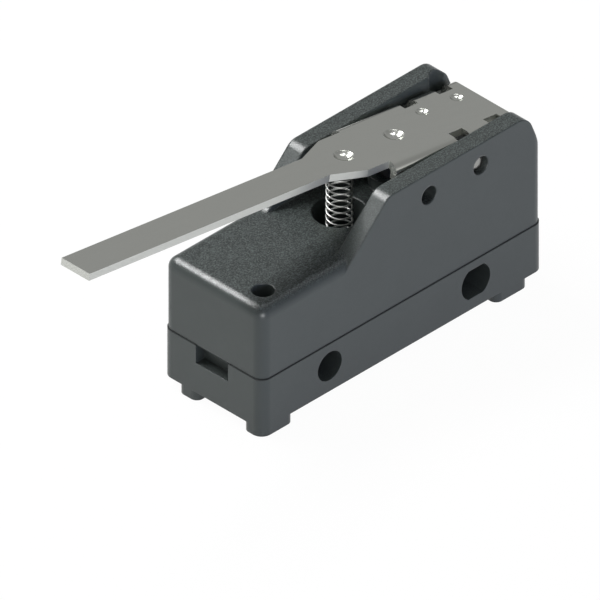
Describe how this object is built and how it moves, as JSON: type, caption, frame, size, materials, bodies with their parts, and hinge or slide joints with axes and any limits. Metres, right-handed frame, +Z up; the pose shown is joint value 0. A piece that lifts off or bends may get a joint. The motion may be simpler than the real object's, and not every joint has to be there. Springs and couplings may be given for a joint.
{
  "type": "lever micro switch",
  "caption": "Snap-acting micro switch in a moulded case, worked by a long sprung lever on a pivot pin, with mounting holes through its base.",
  "frame": {"origin": "centre of the round mounting hole, at mid-width of the base", "axes": "+X along the case from the lever's tip towards its pivot, +Y along the mounting holes, +Z up through the lever"},
  "size_m": [0.073, 0.0174, 0.0337],
  "materials": {
    "case": "semi-matte dark grey moulding",
    "cover": "fine-grained dark grey moulding",
    "lever_steel": "satin rolled sheet",
    "pin_steel": "polished",
    "spring_steel": "bright drawn wire",
    "plunger": "smooth dark moulding",
    "terminal_brass": "rolled sheet",
    "blade_alloy": "thin spring sheet",
    "contact_silver": "bright",
    "screw_steel": "plated"
  },
  "bodies": {
    "housing": {"base": "case", "cover": "cover", "cover_screw_front": "screw_steel", "cover_screw_rear": "screw_steel", "pivot_pin": "pin_steel", "lever_return_spring": "spring_steel", "common_terminal": "terminal_brass", "normally_open_terminal": "terminal_brass", "normally_closed_terminal": "terminal_brass", "blade_anchor": "terminal_brass", "normally_open_contact": "contact_silver", "normally_closed_contact": "contact_silver", "common_terminal_screw": "screw_steel", "common_clamp_plate": "screw_steel", "normally_open_terminal_screw": "screw_steel", "normally_open_clamp_plate": "screw_steel", "normally_closed_terminal_screw": "screw_steel", "normally_closed_clamp_plate": "screw_steel"},
    "lever": {"lever": "lever_steel"},
    "plunger": {"plunger": "plunger"},
    "blade": {"snap_blade": "blade_alloy", "moving_contact": "contact_silver"}
  },
  "joints": [
    {"name": "lever_hinge", "type": "hinge", "parent": "housing", "child": "lever", "pos_m": [0.02635, 0, 0.01698], "axis": [0, -1, 0], "range_deg": [0, 10], "stiffness_Nm_per_rad": 0.06, "springref_deg": -6.88, "deforming": ["lever_return_spring"]},
    {"name": "plunger_slide", "type": "slide", "parent": "housing", "child": "plunger", "axis": [0, 0, -1], "range_m": [0, 0.0013]},
    {"name": "blade_hinge", "type": "hinge", "parent": "housing", "child": "blade", "pos_m": [-0.00345, 0, 0.00726], "axis": [0, 1, 0], "range_deg": [0, 3.2]}
  ],
  "couplings": [
    {"joint": "plunger_slide", "follows": "lever_hinge", "m_per_rad": 0.0068829},
    {"joint": "blade_hinge", "follows": "lever_hinge", "ratio": 0.30011}
  ]
}
